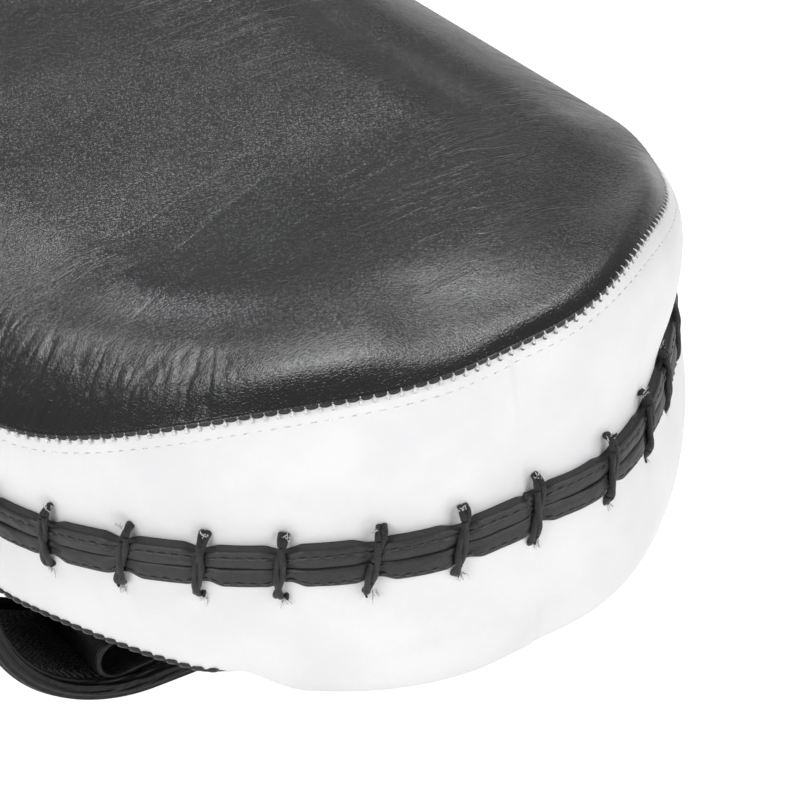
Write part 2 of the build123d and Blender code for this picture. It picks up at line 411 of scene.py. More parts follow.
def grain(s, cell, depth):
    """Pebbled leather grain with cells of about the given size in millimetres."""
    scale = 1 / (cell * MM)
    vector = s.warp(s.coords, scale * 0.5, cell * MM * 1.1)
    pebbles = s.spread(s.cells(scale, vector), 0.0, 0.3)
    fine = s.noise(scale * 2.3, 3.0, 0.62, 0.5, vector)
    s.bump(s.math("MULTIPLY_ADD", fine, 0.75, pebbles), depth)
    return pebbles


def leather(name, color, gloss, cell=1.1, depth=0.1):
    """Coated leather with pebbled grain and painted shade in the grain's valleys, worn a little in patches.
    """
    s = Shader(name, color, gloss)
    pebbles = grain(s, cell, depth)
    patches = s.noise(35, 4.0, 0.6)
    tone = s.mix(s.spread(patches, 0.3, 0.72), shade(color, 0.93), shade(color, 1.07))
    # Painted shade: the colour drops to 0.6 of the tone along the pebbles' borders, the valleys of the
    # grain's bump.
    s.color(s.mix(s.spread(pebbles, 0.0, 0.5), shade(color, 0.6), tone))
    s.rough(s.spread(patches, 0.3, 0.75, gloss - 0.02, gloss + 0.03))
    s.tone = tone
    return s


def face_leather():
    """Plain black leather with long fine folds, crinkled near its sides and ends."""
    black = (0.017, 0.017, 0.0178)
    s = leather("leather_face", black, 0.2, 0.8, 0.03)
    lines = s.stretch((22, 150, 60), math.radians(-17))
    folds = s.noise(1.0, 3.0, 0.6, 0.4, lines)
    band = s.math("ABSOLUTE", s.math("SUBTRACT", folds, 0.5))
    sparse = s.spread(s.noise(20, 2.0), 0.5, 0.62)
    s.bump(s.math("MULTIPLY", s.spread(band, 0.0, 0.02, 1.0, 0.0), sparse), -0.07)
    parts = s.node("SeparateXYZ", {0: s.coords})
    side = s.spread(s.math("ABSOLUTE", parts.outputs[0]), 0.04, 0.062)
    end = s.spread(s.math("ABSOLUTE", parts.outputs[1]), 0.13, 0.165)
    crinkle = s.noise(1150, 3.0, 0.62, 1.3)
    s.bump(s.math("MULTIPLY", crinkle, s.math("MAXIMUM", side, end)), 0.06)
    s.color(s.tone)
    return s.material


def white_leather():
    s = leather("leather_white", (0.83, 0.83, 0.838), 0.42, 0.8, 0.022)
    soft = s.noise(45, 4.0)
    s.color(s.mix(s.spread(soft, 0.3, 0.7), (0.80, 0.80, 0.812), (0.865, 0.865, 0.868)))
    return s.material


def fibre_material(name, color, rough=0.55, scale=2200, depth=0.12, sheen=0.3):
    """Thread or cord: fine fibres with lighter strands."""
    s = Shader(name, color, rough, Sheen_Weight=sheen)
    fibres = s.noise(scale, 3.0, 0.7, 1.2)
    s.bump(fibres, depth)
    s.color(s.mix(s.spread(fibres, 0.38, 0.7), shade(color, 0.6), shade(color, 1.5)))
    return s.material


def ribbed_webbing():
    """Black satin webbing: ribs across its width and a fine twill."""
    color = (0.011, 0.011, 0.0115)
    s = Shader("webbing_black", color, 0.36, Specular_IOR_Level=0.3)
    wave = s.node("TexWave", {"Vector": s.coords, "Scale": 330.0, "Distortion": 0.6, "Detail": 1.0},
                  bands_direction="Y").outputs["Fac"]
    twill = s.noise(1.0, 2.0, 0.6, 0.3, s.stretch((500, 2600, 500)))
    s.bump(wave, 0.1)
    s.bump(twill, 0.09)
    s.color(s.mix(s.spread(twill, 0.35, 0.7), shade(color, 0.6), shade(color, 1.9)))
    return s.material


def tape_material(name, color, scale, depth):
    """Ground of hook or loop tape."""
    s = Shader(name, color, 0.62, Sheen_Weight=0.35)
    knots = s.spread(s.cells(scale), 0.0, 0.3)
    s.bump(knots, depth)
    fuzz = s.noise(scale * 2.2, 3.0, 0.7)
    s.color(s.mix(s.spread(fuzz, 0.35, 0.7), shade(color, 0.5), shade(color, 1.7)))
    return s.material


def foam_material(name, color):
    """Closed-cell foam, with painted shade along the low borders of its cells."""
    s = Shader(name, color, 0.85)
    pores = s.spread(s.cells(900), 0.0, 0.25)
    s.bump(pores, 0.2)
    # Painted shade: the colour drops to 0.55 along the cell borders, the valleys of the bump.
    s.color(s.mix(pores, shade(color, 0.55), color))
    return s.material


def cloth_material(name, color):
    """Plain woven lining."""
    s = Shader(name, color, 0.8, Sheen_Weight=0.2)
    weave = s.node("TexChecker", {"Vector": s.coords, "Scale": 1300.0}).outputs["Fac"]
    s.bump(weave, 0.08)
    slub = s.noise(500, 3.0)
    s.color(s.mix(s.spread(slub, 0.3, 0.7), shade(color, 0.7), color))
    return s.material


def metal_material():
    s = Shader("metal_rivet", (0.42, 0.41, 0.40), 0.28, Metallic=1.0)
    brushed = s.noise(1500, 2.0)
    s.bump(brushed, 0.01)
    s.rough(s.spread(s.noise(300, 3.0), 0.3, 0.7, 0.22, 0.4))
    return s.material


# ---------------------------------------------------------------- the pad's surfaces
def inward_grid(outline, shares, start=0.0):
    """Rows of plan points from the outline, moved out by start, to the pad's middle line."""
    edge = outline.p + outline.n * np.reshape(start, (-1, 1))
    target = np.column_stack([np.zeros(outline.count), outline.p[:, 1] * 0.62])
    return edge[None] + (target - edge)[None] * np.reshape(shares, (-1, 1, 1))


def inside_distance(points, outline):
    """Distance of plan points from the outline."""
    loop = outline.p[::2].astype(np.float32)
    flat = points.reshape(-1, 2).astype(np.float32)
    out = np.empty(len(flat), np.float32)
    for start in range(0, len(flat), 20000):
        gap = flat[start:start + 20000, None, :] - loop[None]
        out[start:start + 20000] = np.sqrt((gap ** 2).sum(-1).min(1))
    return out.reshape(points.shape[:-1])


def shoulder(place_at, tilt):
    """Share of the strike face's rise at each distance from its seam, from its tilt in degrees."""
    fine = np.linspace(0, place_at[-1], 600)
    height = np.cumsum(np.tan(np.radians(np.interp(fine, place_at, tilt))))
    return fine, (height - height[0]) / (height[-1] - height[0])


SIDE_SHOULDER = shoulder((0, 3, 8, 12, 16, 20, 24, 28, 32, 36, 41, 48),
                         (33, 29, 25, 23, 18, 12, 9, 3, 4, 10, 9, 0))
TIP_SHOULDER = shoulder((0, 1.5, 3, 5, 8, 11, 15, 19, 23, 28, 34, 48),
                        (40, 37, 25, 5, 0, 1, 6, 9, 11, 11, 7, 0))
GLOW_SHOULDER = shoulder((0, 1.5, 3, 6, 10, 14, 19, 23, 28, 33, 39, 48),
                         (34, 26, 14, 8, 5, 4, 5, 6, 7, 8, 7, 0))
FLAT_SHOULDER = shoulder((0, 4, 7, 10, 14, 20, 52),
                         (44, 40, 26, 12, 4, 1, 0))
CORNER_SHOULDER = shoulder((0, 4, 8, 12, 15, 19, 23, 27, 31, 36, 44, 52),
                           (28, 25, 22, 17, 12, 13, 13, 6, 5, 9, 9, 0))


def face_z(y, d, s):
    """Height of the strike face, d inside the seam and near s along it; y's first row is the seam."""
    edge_y = y[:1] if np.ndim(y) == 2 else y

    def crown(y):
        return level(y, FACE_CROWN_END, FACE_CROWN_WAIST, END_LENGTH + 45)

    seam = level(edge_y, FACE_SEAM_END, FACE_SEAM_WAIST) + 1.7 * np.exp(-((s - 42) / 30) ** 2)
    end = ease((np.abs(y) - 118) / 45)
    near = ease((-y - 100) / 40)
    corner = ease((-18 - s) / 16) * near
    flat = 0.6 * ease((s + 80) / 34) * ease((-8 - s) / 30) * near
    turn = ease((s + 10) / 20)
    tip = np.interp(d, *TIP_SHOULDER) * turn + np.interp(d, *GLOW_SHOULDER) * (1 - turn)
    wide = d * (1 + 0.15 * ease((s + 125) / 45))
    tip = tip * (1 - corner) + np.interp(wide, *CORNER_SHOULDER) * corner
    tip = tip * (1 - flat) + np.interp(d, *FLAT_SHOULDER) * flat
    share = tip * end + np.interp(d, *SIDE_SHOULDER) * (1 - end)
    return SEAM_Z + crown(y) - (crown(edge_y) - seam) * (1 - share)


def signed_length(outline):
    """Distance along the outline from the elbow end's middle, negative towards -X."""
    return (outline.s + outline.length / 2) % outline.length - outline.length / 2


def seam_inset(s):
    """How far the top seam lies inside the outline, at s along it from the elbow end's middle."""
    return (2.3 - 0.6 * ease((s - 60) / 30)) * ease((s - 15) / 45) * ease((500 - s) / 250)


def middle_seam(s):
    """How far the lacing draws the middle seam in, and how far it lets it sag."""
    tuck = 3.4 * ease((s - 10) / 60) * ease((480 - s) / 300)
    return tuck, 0.8 + 1.7 * np.exp(-((s - 50) / 38) ** 2)


def face_wrinkles(x, y, d, s):
    """Displacement of the strike leather: unevenness, gathers at the seam and creases across."""
    uneven = 0.2 * noise(x / 34, y / 34, 5) + 0.06 * noise(x / 15, y / 15, 6)
    uneven = uneven * ease(d / 14)
    left = ease((-s - 45) / 35) * ease((205 + s) / 40)
    short = np.exp(-((s + 12) / 16) ** 2)
    far = 0.45 * ease((np.abs(s) - 230) / 40)
    rest = 0.22 + 0.2 * noise(s / 40, 0 * s, 31)
    reach = 9 + 22 * left + 8 * far
    strength = np.maximum.reduce([left, 0.25 * short, far, rest + 0 * s])
    lean = s + 0.16 * d
    fold = creases(lean / 5.2, d / 34, 11, 0.13) * 0.24 + creases(lean / 2.3, d / 13, 12, 0.26) * 0.13
    fold = fold + creases(lean / 1.5, d / 7, 13, 0.34) * 0.09 * left
    fold = fold * strength * ease((reach - d) / (0.7 * reach)) * ease((d + 1.0) / 3.5)
    a = math.radians(17)
    u = x * math.cos(a) + y * math.sin(a)
    v = -x * math.sin(a) + y * math.cos(a)
    across = creases(u / 42, v / 9, 41, 0.1) * 0.13
    across = across * ease((d - 18) / 20) * np.exp(-((np.abs(y) - 105) / 34) ** 2)
    return uneven - fold - across


def make_face(material):
    outline = pad_outline(1800)
    inset = seam_inset(signed_length(outline))
    xy = inward_grid(outline, np.linspace(0, 1, 130) ** 1.12, -inset)
    d = np.maximum(inside_distance(xy, outline) - inset, 0)
    s = np.broadcast_to(signed_length(outline), d.shape)
    z = face_z(xy[..., 1], d, s) + face_wrinkles(xy[..., 0], xy[..., 1], d, s)
    top = np.dstack([xy, z])
    fold_z = z[0] - 1.0
    fold = [ring_points(outline, 0.3 - inset, fold_z + 0.6), ring_points(outline, 0.2 - inset, fold_z),
            ring_points(outline, -2.2 - inset, fold_z - 0.4)]
    xy = inward_grid(outline, np.linspace(0.03, 1, 10), -inset)
    d = np.maximum(inside_distance(xy, outline) - inset - 1.6, 0.3)
    inner = np.dstack([xy, face_z(xy[..., 1], d, s[:1]) - 2.0])
    obj = ring_mesh("face_cover_leather", [*top[::-1], *fold, *inner])
    return place(obj, material, nodes=["face_cover"])


def seam_frame(count_per_stitch):
    """Outline with a whole number of stitches, its seam height and 0..1 between two stitches."""
    total = round(pad_outline(400).length / STITCH)
    outline = pad_outline(total * count_per_stitch)
    phase = (np.arange(outline.count) % count_per_stitch) / count_per_stitch
    return outline, phase, face_z(outline.p[:, 1], 0.0, signed_length(outline))


def make_face_edge(material):
    """The strike leather's folded edge, notched where each stitch bites it."""
    outline, phase, z = seam_frame(8)
    swell = np.abs(np.sin(np.pi * phase)) ** 0.34
    swell = swell * (1 + 0.12 * noise(outline.s / 4, 0 * outline.s, 3))
    inset = seam_inset(signed_length(outline))
    rows = []
    for out, gain, drop, dip in ((-1.6, 0, 0.35, 0), (-0.9, 0.2, 0.0, 0), (-0.4, 0.4, 0.15, 0.05),
                                 (-0.25, 0.6, 0.45, 0.2), (-0.3, 0.6, 0.6, 0.6), (-0.5, 0.35, 0.7, 0.85),
                                 (-1.2, 0.1, 0.8, 0.6), (-2.4, 0, 1.2, 0)):
        rows.append(ring_points(outline, out - inset + gain * swell, z - drop - dip * swell))
    obj = ring_mesh("face_cover_folded_edge", [*rows, rows[0]])
    return place(obj, material)


def make_top_threads(material):
    """White lockstitch bites in the folded edge."""
    outline, phase, z = seam_frame(8)
    here = phase == 0
    steps = np.array(((0.1, -2.1), (0.42, -1.5), (0.4, -0.9), (0.2, -0.4), (-0.4, 0.1)))
    edge = outline.p - outline.n * seam_inset(signed_length(outline))[:, None]
    base = np.column_stack([edge, z])[here]
    outward = np.column_stack([outline.n, np.zeros(outline.count)])[here]
    up = np.array((0, 0, 1.0))
    paths = base[:, None] + outward[:, None] * steps[None, :, :1] + up * steps[None, :, 1:]
    points, quads = tubes(paths, np.array((0.5, 0.46, 0.34, 0.24, 0.08)), 7)
    return place(join_parts("top_seam_threads", [(points, quads)]), material)


def wall_dents(outline, drop):
    """Small unevenness of a side wall and the dimples round its lacing holes, drop from the middle seam."""
    s = outline.s
    tie = from_first_tie(s, outline.length)
    soft = 0.3 * noise(s / 36, drop / 26, 51) + 0.1 * noise(s / 13, drop / 19, 52)
    dimple = np.exp(-(tie ** 2 + (drop - 8.4) ** 2) / 7.0)
    pull = np.exp(-(tie / 1.7) ** 2) * ease((20 - drop) / 14) * ease(drop / 6)
    return soft * ease(drop / 5) - 0.55 * dimple - 0.22 * pull


def wall_span(outline):
    """Height of the upper side wall's top and foot over the middle seam's level."""
    top = face_z(outline.p[:, 1], 0.0, signed_length(outline)) - SEAM_Z - 0.6
    return top, 0.6 - middle_seam(signed_length(outline))[1]


def upper_wall(outline, drop):
    """Offset of the upper side wall at drop under its top seam."""
    s = signed_length(outline)
    tuck, sag = middle_seam(s)
    top, foot = wall_span(outline)
    over = top - drop
    t = np.clip((over - foot) / (top - foot), 0, 1)
    belly = (1.3 + 1.0 * ease((s - 15) / 50) * ease((480 - s) / 300)) * np.sin(np.pi * t ** 1.8)
    inset = seam_inset(s) * np.clip((t - 0.8) / 0.2, 0, 1) ** 1.4
    channel = 0.06 * np.exp(-((drop - 4.2) / 0.5) ** 2)
    pinch = 0.1 * np.exp(-((over - foot) / 1.2) ** 2) + 0.45 + tuck * ease((0.5 - t) / 0.5)
    return belly - inset + wall_dents(outline, over + sag) - channel - pinch, over


def make_upper_gusset(material):
    outline = pad_outline(1400)
    top, foot = wall_span(outline)
    outer = []
    for drop in (0, 0.4, 0.9, 1.5, 2.3, 3.0, 3.5, 3.8, 4.0, 4.2, 4.4, 4.6, 5):
        offset, over = upper_wall(outline, np.full(outline.count, float(drop)))
        outer.append(ring_points(outline, offset, SEAM_Z + over))
    for t in np.linspace(0, 1, 34)[1:]:
        offset, over = upper_wall(outline, 5 + (top - foot - 5) * t)
        outer.append(ring_points(outline, offset, SEAM_Z + over))
    inset = seam_inset(signed_length(outline))
    inner = [ring_points(outline, -2.4 - inset, SEAM_Z + top),
             ring_points(outline, -2.5 - inset, SEAM_Z + top - 1.5)]
    for t in np.linspace(0.05, 0.98, 8):
        offset, over = upper_wall(outline, (top - foot) * t)
        inner.append(ring_points(outline, offset - 1.6, SEAM_Z + over))
    obj = ring_mesh("upper_gusset_leather", [*outer[::-1], *inner, outer[-1]])
    return place(obj, material, nodes=["upper_gusset"])


def make_second_row(material):
    """Fine stitch row under the top seam."""
    outline, phase, _ = seam_frame(8)
    offset, over = upper_wall(outline, np.full(outline.count, 4.2))
    rows = ring_points(outline, offset, SEAM_Z + over)
    start = (phase == 0.25).nonzero()[0]
    end = (start + 4) % outline.count
    lift = np.column_stack([outline.n, np.zeros(outline.count)])[start]
    part = stitches(rows[start], rows[end], 0.14, 0.06, lift)
    return place(join_parts("top_seam_second_row", [part]), material)


def rolled_under(outline):
    """0 where the lower seam shows at the wall's foot, 1 where the wall rolls under over it."""
    s = signed_length(outline)
    y = outline.p[:, 1]
    near = ease((s + 82) / 24) * ease((150 - s) / 30)
    far = ease((y - 112) / 26)
    return np.maximum(near, far)


def lower_wall(outline, t):
    """Offset and drop of the lower side wall; t from 0 at the middle seam to 1 at its foot."""
    deep = level(outline.p[:, 1], BACK_END, BACK_WAIST)
    roll = rolled_under(outline)
    tuck, sag = middle_seam(signed_length(outline))
    head = 0.6 + sag
    plain_out = 2.5 * math.sin(math.pi / 2 * t) + 0.5 * math.sin(math.pi * t)
    plain_drop = head + (deep - head) * t
    a, b, c, d = (1 - t) ** 3, 3 * t * (1 - t) ** 2, 3 * t * t * (1 - t), t ** 3
    roll_out = b * 3.5 + c * 5 - d * 13
    roll_drop = a * head + b * 0.42 * deep + c * (deep + 15) + d * (deep + 5)
    offset = plain_out * (1 - roll) + roll_out * roll - tuck * (1 - t) ** 1.3
    drop = plain_drop * (1 - roll) + roll_drop * roll
    return offset + wall_dents(outline, drop - sag) * ease((1 - t) / 0.25), drop


def make_lower_gusset(material):
    outline = pad_outline(1400)
    steps = np.linspace(0, 1, 46)
    outer = []
    for t in steps:
        offset, drop = lower_wall(outline, t)
        outer.append(ring_points(outline, offset, SEAM_Z - drop))
    inner = []
    for t in steps[::-5]:
        offset, drop = lower_wall(outline, min(t, 0.94))
        inner.append(ring_points(outline, offset - 1.6, SEAM_Z - np.minimum(drop, 0.92 * drop[0] + drop)))
    obj = ring_mesh("lower_gusset_leather", [*outer, *inner, outer[0]])
    return place(obj, material, nodes=["lower_gusset"])


def back_drop(y, d, roll):
    """How far the back panel lies under the middle seam."""
    return level(y, BACK_END, BACK_WAIST) + 5 * roll * (1 - ease((d - 13) / 22))


def make_back_panel(material):
    outline = pad_outline(1000)
    roll = rolled_under(outline)
    foot, _ = lower_wall(outline, 1.0)
    shares = np.linspace(0, 1, 60) ** 1.1
    xy = inward_grid(outline, shares, foot - 0.3)
    d = np.maximum(inside_distance(xy, outline), 0) * (shares[:, None] > 0)
    drop = back_drop(xy[..., 1], np.maximum(d, 13 * roll), roll)
    ripple = 0.25 * noise(xy[..., 0] / 22, xy[..., 1] / 22, 61)
    outer = np.dstack([xy, SEAM_Z - drop - ripple * ease(d / 12) * ease((np.abs(xy[..., 1]) - 126) / 20)])
    inner = outer + (0, 0, 1.5)
    lip = ring_points(outline, foot + 0.5, outer[0, :, 2] + 0.7)
    obj = ring_mesh("back_panel_leather", [*outer[::-1], lip, *inner])
    return place(obj, material, nodes=["back_panel"])


def make_bottom_threads(material):
    """Black overcast stitches that close the lower seam where it shows."""
    outline, phase, _ = seam_frame(8)
    here = (phase == 0) & (rolled_under(outline) < 0.15)
    foot, drop = lower_wall(outline, 1.0)
    base = np.column_stack([outline.p, SEAM_Z - drop])[here]
    outward = np.column_stack([outline.n, np.zeros(outline.count)])[here]
    along = np.column_stack([outline.t, np.zeros(outline.count)])[here]
    foot = foot[here][:, None, None]
    steps = np.array(((-0.5, 0.5, -1.3), (0.2, 0.85, -0.9), (0.35, 0.9, 0.0),
                      (0.2, 0.85, 0.9), (-0.5, 0.5, 1.3)))
    paths = base[:, None] + outward[:, None] * (foot + steps[None, :, :1])
    paths = paths + np.array((0, 0, 1.0)) * steps[None, :, 1:2] + along[:, None] * steps[None, :, 2:]
    part = tubes(paths, np.array((0.3, 0.55, 0.6, 0.55, 0.3)), 8)
    sew("bottom_seam_threads", [part], material)


def bound_edge(outline, side, u):
    """Offset and height of one bound edge's skin; u from 0 at the middle seam to 1 at its far edge."""
    s = outline.s
    tie = np.abs(from_first_tie(s, outline.length))
    puff = ease((tie - 0.6) / 4.2)
    tall = 4.0 + 1.1 * puff + 0.35 * noise(s / 15, 0 * s, 3 + side)
    proud = 1.4 + 0.6 * puff + 0.25 * noise(s / 9, 0 * s, 9 + side)
    wander = 0.6 * noise(s / 19, 0 * s, 21)
    angle = math.acos(1 - 2 * u)
    out = proud * math.sin(angle) ** 0.34
    sewn = 0.64 if side > 0 else 0.74
    channel = 0.32 * math.exp(-((u - sewn) / 0.05) ** 2)
    pleats = creases(s / 11, u * 2.2, 14 + side, 0.2) * (1.2 - puff)
    crinkle = (0.16 * noise(s / 2.6, u * 3, 17 + side) - 0.4 * pleats) * math.sin(angle)
    tuck, sag = middle_seam(signed_length(outline))
    height = SEAM_Z - sag + wander + side * (0.04 + u * tall)
    return np.maximum(0.6 + out - channel + crinkle, 0.6) - tuck, height


def make_binding(name, node, side, material):
    outline = pad_outline(2400)
    rows = []
    for a in np.linspace(0.0, np.pi, 30):
        out, z = bound_edge(outline, side, (1 - math.cos(a)) / 2)
        rows.append(ring_points(outline, out, z))
    tuck = middle_seam(signed_length(outline))[0]
    back = [ring_points(outline, -0.4 - tuck, rows[k][:, 2]) for k in (-1, 0)]
    obj = ring_mesh(name, [*rows, *back, rows[0]])
    return place(obj, material, nodes=[node])


def make_binding_stitches(material):
    outline = pad_outline(2400)
    parts = []
    normals = np.column_stack([outline.n, np.zeros(outline.count)])
    for side, u in ((1, 0.64), (-1, 0.74)):
        out, z = bound_edge(outline, side, u)
        parts.append(dashes_along(ring_points(outline, out, z), STITCH, 2.0, normals, 0.3, 0.05))
    sew("binding_stitches", parts, material)


def smooth(values, reach=3):
    kernel = np.ones(2 * reach + 1) / (2 * reach + 1)
    return np.convolve(np.pad(values, reach, "edge"), kernel, "valid")


def tie_places():
    outline = pad_outline(2400)
    centres = FIRST_TIE + outline.length / TIE_COUNT * np.arange(TIE_COUNT)
    centres = centres + tie_shift(centres, outline.length)
    p, n, t = outline.at(centres)
    tuck, sag = middle_seam((centres + outline.length / 2) % outline.length - outline.length / 2)
    return p - n * tuck[:, None], n, t, SEAM_Z - sag


def make_ties(material):
    """Two-strand waxed cord whipped over both bound edges, from hole to hole."""
    p, n, t, base = tie_places()
    rng = np.random.default_rng(7)
    u = np.linspace(0, 8, 62)
    out = smooth(np.interp(u, np.arange(9), (-0.8, 1.1, 2.4, 2.65, 2.6, 2.65, 2.4, 1.1, -0.8)))
    z = smooth(np.interp(u, np.arange(9), (8.3, 7.9, 6.0, 3.1, 0, -3.1, -6.0, -7.9, -8.3)))
    lean = rng.normal(2.0, 0.5, TIE_COUNT)
    shift = rng.normal(0, 0.5, TIE_COUNT)
    turn = rng.uniform(0, 2 * np.pi, TIE_COUNT)
    arc = np.concatenate([[0], np.cumsum(np.hypot(np.diff(out), np.diff(z)))])
    size = np.hypot(np.gradient(out), np.gradient(z))
    face_out, face_z_ = -np.gradient(z) / size, np.gradient(out) / size
    parts = []
    for strand in (0, np.pi):
        phase = turn[:, None] + strand + 2 * np.pi * arc / 21.0
        radial = 0.22 * np.cos(phase)
        sideways = 0.68 * np.sin(phase) + lean[:, None] * z / 9 + shift[:, None]
        o = out + radial * face_out
        xy = p[:, None] + n[:, None] * o[..., None] + t[:, None] * sideways[..., None]
        paths = np.dstack([xy, base[:, None] + z + radial * face_z_])
        swell = 0.8 + 0.07 * np.sin(arc[None] * 1.3 + turn[:, None])
        parts.append(tubes(paths, swell, 10))
    parts.append(tie_stubs(p, n, t, base, lean + shift, rng))
    return place(join_parts("lacing_cords", parts), material, nodes=["lacing_ties"])


def tie_stubs(p, n, t, base, lean, rng):
    """Cut ends of the cord beside each hole."""
    up = np.array((0, 0, 1.0))
    paths = []
    for side in (1, -1):
        tip = rng.uniform(-0.6, 0.9, TIE_COUNT)
        rise = rng.uniform(0.4, 1.6, TIE_COUNT)
        for k in range(TIE_COUNT):
            centre = np.array((*p[k], base[k]))
            outward = np.array((*n[k], 0))
            along = np.array((*t[k], 0))
            shift = lean[k] * side + np.linspace(0, tip[k], 5)
            reach = np.array((0.2, 1.2, 1.7, 1.9, 2.0))
            height = side * (7.6 + np.linspace(0, 1, 5) * rise[k])
            paths.append(centre + outward * reach[:, None] + along * shift[:, None] + up * height[:, None])
    return tubes(np.array(paths), np.array((0.6, 0.58, 0.48, 0.34, 0.2)), 7)


def make_frays(material):
    """Pale loose fibres at the cord's cut ends."""
    p, n, t, base = tie_places()
    rng = np.random.default_rng(11)
    paths = []
    for k in range(TIE_COUNT):
        for side in (1, -1):
            for _ in range(6):
                root = rng.uniform((0.7, -0.7, 7.6), (1.5, 0.9, 8.8))
                tip = root + rng.uniform((0.2, -1.2, 0.6), (1.2, 1.2, 2.1))
                mid = (root + tip) / 2 + rng.normal(0, 0.25, 3)
                line = bezier(root, mid, mid, tip, np.linspace(0, 1, 5))
                xy = p[k] + n[k] * line[:, :1] + t[k] * (line[:, 1:2] + 1.2 * side)
                paths.append(np.column_stack([xy, base[k] + side * line[:, 2]]))
    part = tubes(np.array(paths), np.array((0.14, 0.14, 0.12, 0.1, 0.06)), 4)
    sew("lacing_frays", [part], material)


# ---------------------------------------------------------------- inside the cushions
def slab(name, inset, low, high):
    """Closed layer inside the pad; low and high give its faces from y and the distance inside."""
    outline = pad_outline(360)
    xy = inward_grid(outline, np.linspace(0, 1, 16), -inset)
    d = inside_distance(xy, outline)
    top = np.dstack([xy, high(xy[..., 1], d)])
    bottom = np.dstack([xy, low(xy[..., 1], d)])
    return ring_mesh(name, [*top[::-1], *bottom])


def make_inner_layers(foam, board, cloth):
    """Foams, stiffening board and linings, each its own layer between the skins."""
    def under_face(y, d):
        return face_z(y, np.maximum(d - 1.6, 0.4), 90.0) - 2.6

    def back(y, d):
        return SEAM_Z - level(y, BACK_END, BACK_WAIST)

    def at(z):
        return lambda y, d: np.full(y.shape, float(z))

    pieces = (
        ("strike_foam_layer", "strike_foam", foam, "foam", 3.4,
         lambda y, d: under_face(y, d) - 2 - 8 * ease((d - 2) / 10), under_face),
        ("front_core_block", "front_core_foam", foam, "foam", 4.0, at(SEAM_Z + 1.6),
         lambda y, d: under_face(y, d) - 2.4 - 8 * ease((d - 2) / 10)),
        ("upper_lining_cloth", "upper_lining", cloth, "lining_fabric", 1.0,
         at(SEAM_Z + 0.4), at(SEAM_Z + 1.3)),
        ("lower_lining_cloth", "lower_lining", cloth, "lining_fabric", 1.0,
         at(SEAM_Z - 1.3), at(SEAM_Z - 0.4)),
        ("back_core_block", "back_core_foam", foam, "foam", 4.0,
         lambda y, d: back(y, d) + 1.8 + 3.4 * ease((d - 19) / 4), at(SEAM_Z - 1.6)),
        ("back_board_sheet", "back_board", board, "board", 24.0,
         lambda y, d: back(y, d) + 1.8, lambda y, d: back(y, d) + 4.6),
    )
    for name, node, material, slot, inset, low, high in pieces:
        place(slab(name, inset, low, high), material, nodes=[node])
    p = pad_outline(360).p
    cut = abs((p[:, 0] * np.roll(p[:, 1], 1) - p[:, 1] * np.roll(p[:, 0], 1)).sum()) / 2
    cut = (cut - 1.0 * pad_outline(360).length) * MM * MM


# ---------------------------------------------------------------- straps
STRAP_Y = {"near": (box_mm("near_strap_leg")[0][1] + box_mm("near_strap_leg")[1][1]) / 2,
           "far": (box_mm("far_strap_leg")[0][1] + box_mm("far_strap_leg")[1][1]) / 2}
STRAP_SIDE = 95.0
STRAP_BEND = 42.0
UNDER_Z = box_mm("near_loop_tape")[1][2]
TAIL_X = box_mm("near_strap_tail")[1][0]


class Route:
    """Outer face of a strap in the XZ plane, sampled evenly; side is -1 or +1."""

    def __init__(self, points, side, pitch=1.0):
        self.side = side
        steps = np.hypot(*np.diff(points, axis=0).T)
        keep = np.concatenate([[True], steps > 1e-6])
        points = points[keep]
        along = np.concatenate([[0], np.cumsum(np.hypot(*np.diff(points, axis=0).T))])
        self.length = along[-1]
        self.s = np.linspace(0, self.length, max(3, int(self.length / pitch)))
        self.p = np.stack([np.interp(self.s, along, points[:, k]) for k in (0, 1)], 1)
        tangent = np.gradient(self.p, axis=0)
        tangent /= np.hypot(*tangent.T)[:, None]
        self.n = np.stack([tangent[:, 1], -tangent[:, 0]], 1) * side

    def at(self, s, w, h, y):
        """Points at distance s, w across and h in from the outer face."""
        p = np.stack([np.interp(s, self.s, self.p[:, k]) for k in (0, 1)], -1)
        n = np.stack([np.interp(s, self.s, self.n[:, k]) for k in (0, 1)], -1)
        q = p + n * np.asarray(h)[..., None]
        drift = 4.5 * ease((q[..., 0] + 82) / 60) * (self.side < 0)
        return np.stack([q[..., 0], y + w - drift, q[..., 1]], -1)

    def where(self, test):
        """First distance along the route at which test(points) holds."""
        return self.s[np.argmax(test(self.p))]


def strap_route(side, ground, end_x):
    """From the sewn root down the side, round the turn and along the ground to end_x."""
    root_z = ANCHOR_LOW - 0.2
    turn_z = ground + STRAP_BEND
    down = bezier((82, root_z), (98, root_z), (STRAP_SIDE, turn_z + 14), (STRAP_SIDE, turn_z),
                  np.linspace(0, 1, 60))
    a = np.linspace(0, -np.pi / 2, 60)
    turn = np.column_stack([STRAP_SIDE - STRAP_BEND + STRAP_BEND * np.cos(a),
                            turn_z + STRAP_BEND * np.sin(a)])
    line = np.vstack([[(62, root_z)], down, turn, [(end_x * side, ground)]])
    return line * (side, 1)


def band_section(width, thick, rim=0.0, rim_width=3.6):
    """Closed outline of webbing: (across, in from the outer face), thicker by rim at its edges."""
    half = width / 2
    r = (thick + rim) / 2
    a = np.linspace(-np.pi / 2, np.pi / 2, 41)
    ridge = r + 0.26 * np.cos(8 * a) * (rim > 0)
    edge = np.column_stack([half - r + ridge * np.cos(a), r + ridge * np.sin(a)])
    flat = np.linspace(-(half - r), half - r, 40)
    inner = thick + rim * ease((np.abs(flat) - (half - rim_width)) / 1.4)
    outer = np.column_stack([flat, 0 * flat])
    inner = np.column_stack([flat[::-1], inner[::-1]])
    return np.vstack([outer[1:-1], edge, inner[1:-1], edge[::-1] * (-1, 1)])


